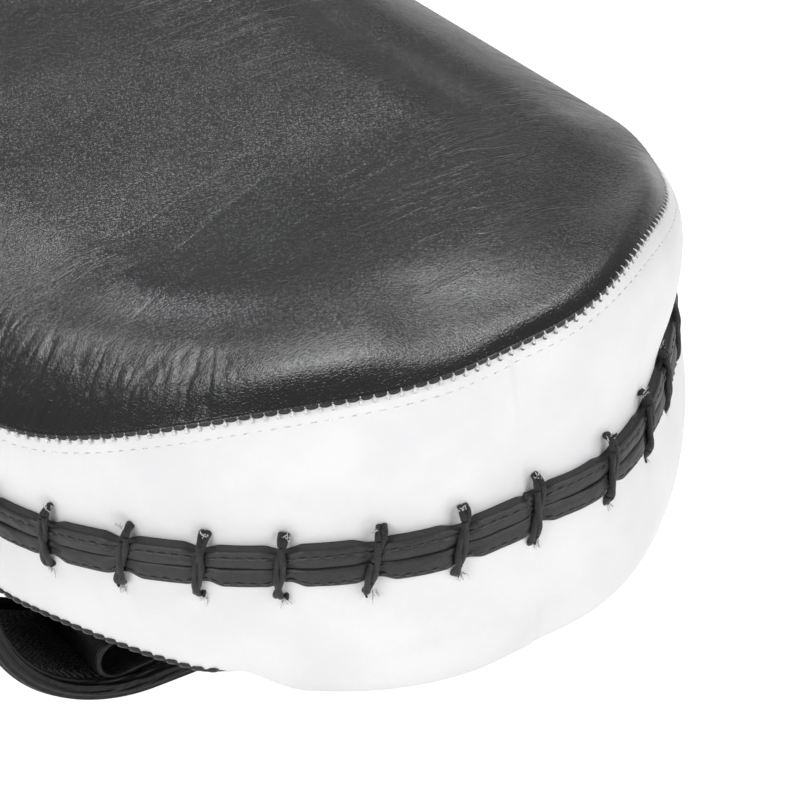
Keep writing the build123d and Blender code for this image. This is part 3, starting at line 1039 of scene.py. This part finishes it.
def band(name, route, y, section, low=0.0, high=None, base=0.0):
    """Closed strip of webbing along a route between two distances."""
    s = route.s[(route.s >= low) & (route.s <= (high or route.length))]
    w, h = section.T
    s_all = np.broadcast_to(s[:, None], (len(s), len(w)))
    rows = route.at(s_all, w[None], base + h[None] + 0 * s_all, y)
    ends = [np.broadcast_to(rows[k].mean(0), rows[k].shape) for k in (0, -1)]
    return ring_mesh(name, [ends[0], *rows, ends[1]])


def zigzag(route, y, w, h, low, high):
    """Zigzag thread that holds the tape down, w across and h in."""
    s = np.arange(low, high, 1.15)
    across = w + 1.9 * np.where(np.arange(len(s)) % 2, 1, -1)
    return tubes(route.at(s, across, np.full(len(s), h), y)[None], 0.27, 5)


def hooks(route, y, half, low, high, h):
    """Field of small bent hooks."""
    rng = np.random.default_rng(3)
    s, w = np.meshgrid(np.arange(low, high, 1.55), np.arange(-half, half, 1.5))
    s = s.ravel() + rng.normal(0, 0.15, s.size)
    w = w.ravel() + rng.normal(0, 0.15, w.size)
    x = route.at(s, w, 0 * s, y)[:, 0]
    tall = np.where(x > -60, 0.35, 0.85)
    paths = np.stack([route.at(s + bend, w, h + tall * up, y)
                      for up, bend in ((-0.2, 0), (0.7, 0.05), (1.0, 0.35), (0.75, 0.6))], 1)
    return tubes(paths, np.array((0.2, 0.17, 0.15, 0.12)), 3)


def box_stitches(x0, x1, y0, y1, z):
    """Sewn box with a cross through it."""
    corners = [np.array((x, y, z)) for x, y in ((x0, y0), (x1, y0), (x1, y1), (x0, y1))]
    lines = [(corners[k], corners[(k + 1) % 4]) for k in range(4)]
    lines += [(corners[0], corners[2]), (corners[1], corners[3])]
    parts = []
    for a, b in lines:
        line = a + (b - a) * np.linspace(0, 1, 30)[:, None]
        parts.append(dashes_along(line, 2.6, 1.9, np.tile((0, 0, -1), (30, 1)), 0.33, 0.05))
    return parts


def make_outer_strap(name, webbing, hook, thread):
    """Outer strap: sewn root on the pad, leg and peeling tail with hook tape inside."""
    y = STRAP_Y[name]
    route = Route(strap_route(-1, 0.0, TAIL_X), -1)
    cut = route.where(lambda p: p[:, 1] < 50)
    tape_start = route.where(lambda p: p[:, 1] < 42)
    tape_end = route.length - 14
    section = band_section(50, 2.0, 3.2, 4.6)
    swing = ("pad", f"{name}_strap", (-80, y, 63), (-95, y, 55))
    peel = (f"{name}_strap", f"{name}_tail", (-50, y, 1), (-26, y, 1))
    root = band(f"{name}_outer_strap_root", route, y, band_section(50, 2.0), high=cut + 0.8)
    place(root, webbing, swing)
    strip = band(f"{name}_outer_strap", route, y, section, low=cut)
    place(strip, webbing, peel, [f"{name}_strap_leg", f"{name}_strap_tail"])
    tape = band(f"{name}_hook_tape", route, y, band_section(40, 1.2), tape_start, tape_end, base=2.0)
    place(tape, hook, peel, [f"{name}_leg_hook_tape", f"{name}_tail_hook_tape"])
    field = join_parts(f"{name}_hooks", [hooks(route, y, 13, tape_start + 1, tape_end - 1, 3.1)])
    place(field, hook, peel)
    rows = [zigzag(route, y, w, 3.75, tape_start + 1, tape_end - 1) for w in (-16.2, 16.2)]
    sew(f"{name}_tape_zigzag", rows, thread[1], peel)
    sewn = box_stitches(-80, -64, y - 20, y + 20, ANCHOR_LOW - 2.2)
    sew(f"{name}_root_stitches", sewn, thread[0])


def make_pull_tab(name, material, thread):
    """Leather folded over the tail's tip."""
    y = STRAP_Y[name]
    turn = np.linspace(-np.pi / 2, np.pi / 2, 12)
    edge_x = TAIL_X + 14
    nose = np.column_stack([edge_x + 1.7 * np.cos(turn), 1.7 + 1.7 * np.sin(turn)])
    line = np.vstack([[(TAIL_X + 0.3, 0)], nose, [(TAIL_X + 2, 3.4), (TAIL_X - 4, 3.4), (TAIL_X - 8, 3.4)]])
    route = Route(line, -1, 0.7)
    tab = band(f"{name}_pull_tab_leather", route, y, band_section(34, 1.3))
    body = f"{name}_tail"
    place(tab, material, body, [f"{name}_pull_tab"])
    parts = []
    for x in (TAIL_X + 3, TAIL_X + 6):
        line = np.column_stack([np.full(40, x), y - 4.5 + np.linspace(-15, 15, 40), np.full(40, 3.4)])
        parts.append(dashes_along(line, 2.6, 1.8, None, 0.3, 0.05))
    sew(f"{name}_pull_tab_stitches", parts, thread, body)


def make_under_strap(name, webbing, loops, thread):
    """Inner strap from the other side, ending in a folded hem."""
    y = STRAP_Y[name] - 3
    radius = 6.6
    hem_x = -60.4
    a = np.linspace(-np.pi / 2, -1.5 * np.pi, 30)
    roll = np.column_stack([hem_x + radius * np.cos(a), UNDER_Z + radius + radius * np.sin(a)])
    back = bezier((hem_x, UNDER_Z + 2 * radius), (hem_x + 10, UNDER_Z + 2 * radius),
                  (hem_x + 14, UNDER_Z + 4.2), (hem_x + 26, UNDER_Z + 4.15), np.linspace(0, 1, 20))
    line = np.vstack([strap_route(1, UNDER_Z, hem_x), roll[1:], back[1:], [(hem_x + 34, UNDER_Z + 4.15)]])
    route = Route(line, 1, 0.8)
    strip = band(f"{name}_inner_strap", route, y, band_section(40, 2.0))
    place(strip, webbing, "pad", [f"{name}_under_strap"])
    flat = Route(np.array([(-57.0, UNDER_Z), (TAIL_X, UNDER_Z)]), 1)
    tape = band(f"{name}_loop_tape_pile", flat, y, band_section(36, 1.15))
    place(tape, loops, "pad", [f"{name}_loop_tape"])
    parts = box_stitches(64, 80, y - 16, y + 16, ANCHOR_LOW - 2.2)
    for x in (hem_x + 27, hem_x + 31):
        row = np.column_stack([np.full(40, x), y + np.linspace(-18, 18, 40), np.full(40, UNDER_Z + 4.2)])
        parts.append(dashes_along(row, 2.4, 1.7, None, 0.3, 0.05))
    sew(f"{name}_inner_strap_stitches", parts, thread)


def make_plate(name, width, length, radius, middle, low, high, material, slot, nodes, thread):
    """Leather patch with a soft edge, sewn down all round."""
    outline = rounded_rectangle(width, length, radius, 200, middle)
    half = (high - low) / 2
    a = np.linspace(-np.pi / 2, np.pi / 2, 9)
    edge = [(half * math.cos(v) - half, low + half + half * math.sin(v), 0) for v in a]
    inwards = (1, 0.8, 0.55, 0.3, 0.12)
    under = [(-half, low, k) for k in inwards]
    over = [(-half, high, k) for k in inwards[::-1]]
    obj = ring_mesh(name, loft(outline, under + edge + over))
    place(obj, material, nodes=nodes)
    row = ring_points(outline, -2.6, low)
    down = np.tile((0, 0, -1.0), (len(row) + 1, 1))
    part = dashes_along(np.vstack([row, row[:1]]), 2.7, 1.9, down, 0.32, 0.06)
    sew(name + "_stitches", [part], thread)


def make_anchors(material, thread):
    for name in STRAP_Y:
        for hand in ("left", "right"):
            node = f"{name}_anchor_{hand}"
            low, high = box_mm(node)
            make_plate(node + "_patch", *(high - low)[:2], 5, (low + high)[:2] / 2, low[2], high[2],
                       material, "black_leather", [node], thread)


# ---------------------------------------------------------------- forearm cushion
CUSHION_CHANNELS = (-57, -19, 19, 57)


def simulate_cushion(obj, cap, ceiling):
    """Inflates the cushion with cloth, keeps every point within cap and flattens it on the panel."""
    rest = np.array([v.co for v in obj.data.vertices])
    cloth = obj.modifiers.new("cloth", "CLOTH")
    cloth.settings.use_pressure = True
    cloth.settings.uniform_pressure_force = 4.0
    cloth.settings.effector_weights.gravity = 0.0
    cloth.settings.tension_stiffness = 40
    cloth.point_cache.frame_start = 1
    cloth.point_cache.frame_end = 20
    for step in range(1, 21):
        bpy.context.scene.frame_set(step)
    evaluated = obj.evaluated_get(bpy.context.evaluated_depsgraph_get())
    moved = np.array([v.co for v in evaluated.data.vertices])
    obj.modifiers.remove(cloth)
    bpy.context.scene.frame_set(1)
    shift = moved - rest
    size = np.linalg.norm(shift, axis=1, keepdims=True)
    final = rest + shift * np.minimum(1, cap * MM / np.maximum(size, 1e-9))
    final[:, 2] = np.minimum(final[:, 2], ceiling * MM)
    obj.data.vertices.foreach_set("co", final.astype(np.float32).ravel())


def apply_modifier(obj, kind, **settings):
    made = obj.modifiers.new(kind, kind)
    for key, value in settings.items():
        setattr(made, key, value)
    fresh = bpy.data.meshes.new_from_object(obj.evaluated_get(bpy.context.evaluated_depsgraph_get()))
    obj.modifiers.clear()
    obj.data = fresh
    fresh.polygons.foreach_set("use_smooth", np.ones(len(fresh.polygons), bool))


def make_cushion(material, foam, thread):
    low, high = box_mm("forearm_cushion_cover")
    middle = (low + high)[:2] / 2
    width, length = (high - low)[:2]
    tall = high[2] - low[2]
    outline = rounded_rectangle(width - 5, length - 5, 24, 200, middle)
    a = np.linspace(-np.pi / 2, np.pi / 2, 7)
    r = tall / 2 - 1.6
    mid = high[2] - 0.4 - r
    edge = [(r * math.cos(v) - r, mid + r * math.sin(v), 0) for v in a]
    ins = (1, 0.75, 0.5, 0.25)
    rows = [(-r, mid - r, k) for k in ins] + edge + [(-r, mid + r, k) for k in ins[::-1]]
    obj = ring_mesh("forearm_cushion_leather", loft(outline, rows))
    apply_modifier(obj, "REMESH", mode="VOXEL", voxel_size=0.0045)
    simulate_cushion(obj, 3.0, high[2])
    for _ in range(2):
        apply_modifier(obj, "SUBSURF", levels=1, render_levels=1)
    points = np.array([v.co for v in obj.data.vertices]) / MM
    below = ease((mid + 1 - points[:, 2]) / 3)
    channels = sum(np.exp(-((points[:, 1] - middle[1] - k) / 1.9) ** 2) for k in CUSHION_CHANNELS)
    points[:, 2] += below * channels * 3.4
    points[:, 2] += 0.25 * below * noise(points[:, 0] / 9, points[:, 1] / 9, 81)
    points[:, 2] = np.clip(points[:, 2], low[2] - 1.5, high[2])
    obj.data.vertices.foreach_set("co", (points * MM).astype(np.float32).ravel())
    place(obj, material, nodes=["forearm_cushion_cover"])
    filling = ring_mesh("forearm_cushion_filling", loft(
        rounded_rectangle(width - 14, length - 14, 20, 120, middle),
        [(-1, mid - r + 3.9, 1), (-1, mid - r + 3.9, 0), (0, mid, 0),
         (-1, mid + r - 1, 0), (-1, mid + r - 1, 1)]))
    place(filling, foam, nodes=["forearm_cushion_foam"])
    cord = ring_points(rounded_rectangle(width - 1, length - 1, 26, 300, middle), 0, high[2] - 1.3)
    piping = tubes(np.vstack([cord, cord[:2]])[None], 1.25, 10)
    place(join_parts("forearm_cushion_piping", [piping]), material)
    parts = []
    for k in CUSHION_CHANNELS:
        x = np.linspace(-width / 2 + 5, width / 2 - 5, 60)
        y = np.full(60, middle[1] + k)
        near = [np.argmin(np.hypot(points[:, 0] - a, points[:, 1] - b) + 50 * (points[:, 2] > mid))
                for a, b in zip(x, y)]
        line = np.column_stack([x, y, smooth(points[near, 2], 4) - 0.1])
        parts.append(dashes_along(line, 2.8, 2.0, np.tile((0, 0, -1.0), (60, 1)), 0.36, 0.05))
    sew("forearm_cushion_stitches", parts, thread)


# ---------------------------------------------------------------- hand grip
class GripRoute:
    """Middle line of the grip's padded bar, with inward normals, in the XZ plane."""

    def __init__(self):
        low, high = box_mm("grip_cover")
        self.radius = (high[1] - low[1]) / 2
        self.y = (high[1] + low[1]) / 2
        self.half = high[0] - self.radius
        self.top_z = high[2]
        self.pivot_z = high[2] - self.radius
        bar_z = low[2] + self.radius
        bend = 24.0
        a = np.linspace(0, np.pi / 2, 24)
        corner = np.column_stack([-self.half + bend - bend * np.cos(a), bar_z + bend - bend * np.sin(a)])
        left = np.vstack([[(-self.half, self.top_z)], corner])
        line = np.vstack([left, left[::-1] * (-1, 1)])
        self.route = Route(line, -1, 1.3)


def make_grip(material, foam, thread):
    """Padded bar in a stitched leather sleeve, with rounded ends that sit in leather skirts."""
    grip = GripRoute()
    route = grip.route
    a = np.linspace(0, 2 * np.pi, 56, endpoint=False)

    def rows(radius, share=1.0):
        end = np.minimum(route.s, route.length - route.s)
        dome = np.sqrt(np.clip(1 - (1 - np.minimum(end / grip.radius, 1)) ** 2, 0, 1))
        bent = 1 - np.abs(route.n[:, 1]) ** 6 - np.abs(route.n[:, 0]) ** 6
        r = radius * dome[:, None] * np.ones(len(a))
        if share:
            facing = np.cos(a)[None]
            bunch = np.sin(route.s[:, None] * 1.15 + 0.6 * np.sin(a)[None] * 2)
            r = r + share * bent[:, None] * np.maximum(facing, 0) ** 2 * 0.7 * bunch
            r = r + share * 0.25 * noise(route.s[:, None] / 12, a[None] * 2, 91) * dome[:, None]
            off = np.angle(np.exp(1j * (a - 0.02)))[None]
            r = r + 0.55 * np.exp(-(off / 0.075) ** 2) * dome[:, None] - 0.35 * dome[:, None]
        p, n = route.p, route.n
        x = p[:, :1] + n[:, :1] * r * np.cos(a)
        z = p[:, 1:] + n[:, 1:] * r * np.cos(a)
        return np.dstack([x, grip.y + r * np.sin(a), z])

    outer = rows(grip.radius)
    inner = rows(grip.radius - 1.7, 0)
    cover = ring_mesh("grip_sleeve_leather", [*outer, *inner[::-1], outer[0]], 0.0005)
    place(cover, material, "grip", ["grip_cover"])
    place(ring_mesh("grip_core_foam", rows(grip.radius - 2.0, 0)), foam, "grip", ["grip_core"])
    keep = (route.s > 14) & (route.s < route.length - 14)
    parts = []
    for k in (-3, 3):
        line = outer[keep, k]
        normals = np.column_stack([route.n[keep, 0], np.zeros(keep.sum()), route.n[keep, 1]])
        parts.append(dashes_along(line, 3.0, 2.1, normals, 0.34, 0.05))
    sew("grip_sleeve_stitches", parts, thread, "grip")
    return grip


def make_grip_feet(grip, material, metal, thread):
    for hand, side in (("left", -1), ("right", 1)):
        node = f"grip_tab_{hand}"
        low, high = box_mm(node)
        make_plate(node + "_leather", *(high - low)[:2], 9, (low + high)[:2] / 2, low[2], high[2],
                   material, "black_leather", [node], thread)
        centre = (side * grip.half, grip.y)
        ring = Outline(np.array([(centre[0] + math.cos(v), centre[1] + math.sin(v))
                                 for v in np.linspace(0, 2 * np.pi, 97)[:-1]]), 96)
        r, z = grip.radius - 1, low[2]
        profile = [(r + 2.6, z, 0), (r + 2.4, z - 1.0, 0), (r + 1.3, z - 3.5, 0), (r + 0.75, z - 8, 0),
                   (r + 0.6, z - 12.5, 0), (r + 0.2, z - 12.9, 0), (r - 0.6, z - 12.0, 0),
                   (r - 0.5, z - 6, 0), (r - 0.4, z - 0.2, 0), (r + 2.6, z, 0)]
        skirt = ring_mesh(f"grip_skirt_{hand}", loft(ring, profile))
        bend = ("pad", "grip", (*centre, z - 0.5), (*centre, z - 12))
        place(skirt, material, bend)
        row = ring_points(ring, r + 0.95, z - 11.2)
        normals = np.column_stack([ring.n, np.zeros(96)])
        lift = np.vstack([normals, normals[:1]])
        part = dashes_along(np.vstack([row, row[:1]]), 2.8, 2.0, lift, 0.3, 0.3)
        sew(f"grip_skirt_{hand}_stitches", [part], thread, "grip")
    make_rivets(metal)


def make_rivets(metal):
    low, high = box_mm("grip_rivets")
    a = np.linspace(0, 2 * np.pi, 33)[:-1]
    turn = np.column_stack([np.cos(a), np.sin(a)])
    z0, z1 = low[2], high[2]
    profile = ((0.0, z0), (1.6, z0 + 0.02), (2.9, z0 + 0.3), (3.9, z0 + 0.8),
               (4.4, z1 - 0.2), (4.5, z1), (0.0, z1))
    parts = []
    for x in (low[0] + 4.5, high[0] - 4.5):
        for y in (low[1] + 4.5, high[1] - 4.5):
            rows = [np.column_stack([(x, y) + turn * r, np.full(32, z)]) for r, z in profile]
            parts.append((np.vstack(rows), grid_quads(len(rows), 32)))
    obj = close_mesh(join_parts("grip_rivet_heads", parts))
    place(obj, metal, nodes=["grip_rivets"])


# ---------------------------------------------------------------- stage and camera
def make_stage():
    mesh = bpy.data.meshes.new("floor")
    size = 5.0
    corners = [(-size, -size, 0), (size, -size, 0), (size, size, 0), (-size, size, 0)]
    mesh.from_pydata(corners, [], [(0, 1, 2, 3)])
    floor = bpy.data.objects.new("floor", mesh)
    bpy.context.scene.collection.objects.link(floor)
    s = Shader("floor_pale", (0.45, 0.45, 0.45), 0.9)
    s.bsdf.inputs["Emission Color"].default_value = (1, 1, 1, 1)
    seen = s.node("LightPath", {}).outputs["Is Camera Ray"]
    s.connect(s.math("MULTIPLY_ADD", seen, 0.3, 0.66), s.bsdf.inputs["Emission Strength"])
    clear = s.node("BsdfTransparent", {})
    back = s.node("NewGeometry", {}).outputs["Backfacing"]
    both = s.node("MixShader", {0: back, 1: s.bsdf.outputs[0], 2: clear.outputs[0]})
    s.tree.links.new(both.outputs[0], s.tree.nodes["Material Output"].inputs["Surface"])
    floor.data.materials.append(s.material)
    world = bpy.data.worlds.new("studio")
    bpy.context.scene.world = world
    world.use_nodes = True
    world.node_tree.nodes["Background"].inputs["Color"].default_value = (1, 1, 1, 1)
    world.node_tree.nodes["Background"].inputs["Strength"].default_value = 0.28
    bpy.context.scene.view_settings.view_transform = "Standard"


def area_light(name, place_at, look_at, size, power):
    data = bpy.data.lights.new(name, "AREA")
    data.shape = "RECTANGLE"
    data.size, data.size_y = size
    data.energy = power
    obj = bpy.data.objects.new(name, data)
    bpy.context.scene.collection.objects.link(obj)
    obj.location = place_at
    obj.rotation_mode = "QUATERNION"
    obj.rotation_quaternion = (Vector(look_at) - Vector(place_at)).to_track_quat("-Z", "Y")
    return obj


def make_lights():
    """A strip behind and above, and soft boxes either side of the camera."""
    aim = (0, -0.1, 0.11)
    area_light("strip", (0.29, 0.71, 1.08), aim, (0.8, 0.24), 8)
    area_light("left", (-1.3, -0.6, 0.7), aim, (0.9, 0.9), 10)
    area_light("right", (0.7, -1.4, 0.7), aim, (0.9, 0.9), 10)


def make_camera():
    azimuth, elevation, roll = (math.radians(v) for v in (-29.36, 33.55, -6.79))
    distance = 0.7099
    back = Vector((math.sin(azimuth) * math.cos(elevation), -math.cos(azimuth) * math.cos(elevation),
                   math.sin(elevation)))
    right = Vector((math.cos(azimuth), math.sin(azimuth), 0))
    up = back.cross(right)
    x_axis = right * math.cos(roll) + up * math.sin(roll)
    y_axis = up * math.cos(roll) - right * math.sin(roll)
    aim = Vector((-0.00898, 0.03259 - HALF_LENGTH * MM, SEAM_Z * MM + 0.01719))
    turn = Matrix((x_axis, y_axis, back)).transposed().to_4x4()
    data = bpy.data.cameras.new("camera")
    camera = bpy.data.objects.new("camera", data)
    bpy.context.scene.collection.objects.link(camera)
    camera.matrix_world = Matrix.Translation(aim + back * distance) @ turn
    data.sensor_width = 36
    data.lens = 139.47
    data.shift_x = -0.00805
    data.shift_y = -0.0027
    data.clip_start = 0.05
    data.clip_end = 20
    bpy.context.scene.camera = camera


def build():
    black = leather("leather_black", (0.024, 0.024, 0.025), 0.42).material
    bound = leather("leather_binding", (0.026, 0.026, 0.027), 0.46, 0.7, 0.02).material
    face = face_leather()
    white = white_leather()
    cord = fibre_material("cord_waxed", (0.009, 0.009, 0.0093), 0.48, 1300, 0.5, 0.08)
    thread_black = fibre_material("thread_black", (0.016, 0.016, 0.017))
    thread_dull = fibre_material("thread_dull", (0.2, 0.195, 0.19))
    thread_white = fibre_material("thread_white", (0.8, 0.8, 0.8))
    thread_grey = fibre_material("thread_grey", (0.82, 0.815, 0.815))
    fray = fibre_material("cord_fray", (0.62, 0.57, 0.54))
    webbing = ribbed_webbing()
    hook = tape_material("tape_hook", (0.02, 0.02, 0.021), 700, 0.2)
    loops = tape_material("tape_loop", (0.017, 0.017, 0.018), 1100, 0.3)
    foam = foam_material("foam_grey", (0.10, 0.10, 0.11))
    board = foam_material("board_brown", (0.22, 0.15, 0.09))
    cloth = cloth_material("lining_black", (0.03, 0.03, 0.032))
    make_face(face)
    make_face_edge(black)
    make_top_threads(thread_white)
    make_upper_gusset(white)
    make_second_row(thread_grey)
    make_lower_gusset(white)
    make_back_panel(black)
    make_bottom_threads(thread_black)
    make_binding("upper_bound_edge", "upper_binding", 1, bound)
    make_binding("lower_bound_edge", "lower_binding", -1, bound)
    make_binding_stitches(thread_black)
    make_ties(cord)
    make_frays(fray)
    make_inner_layers(foam, board, cloth)
    for name in STRAP_Y:
        make_outer_strap(name, webbing, hook, (thread_black, thread_dull))
        make_pull_tab(name, bound, thread_black)
        make_under_strap(name, webbing, loops, thread_black)
    make_anchors(black, thread_black)
    make_cushion(black, foam, thread_black)
    grip = make_grip(black, foam, thread_black)
    make_grip_feet(grip, black, metal_material(), thread_black)


make_camera()
make_stage()
make_lights()
build()
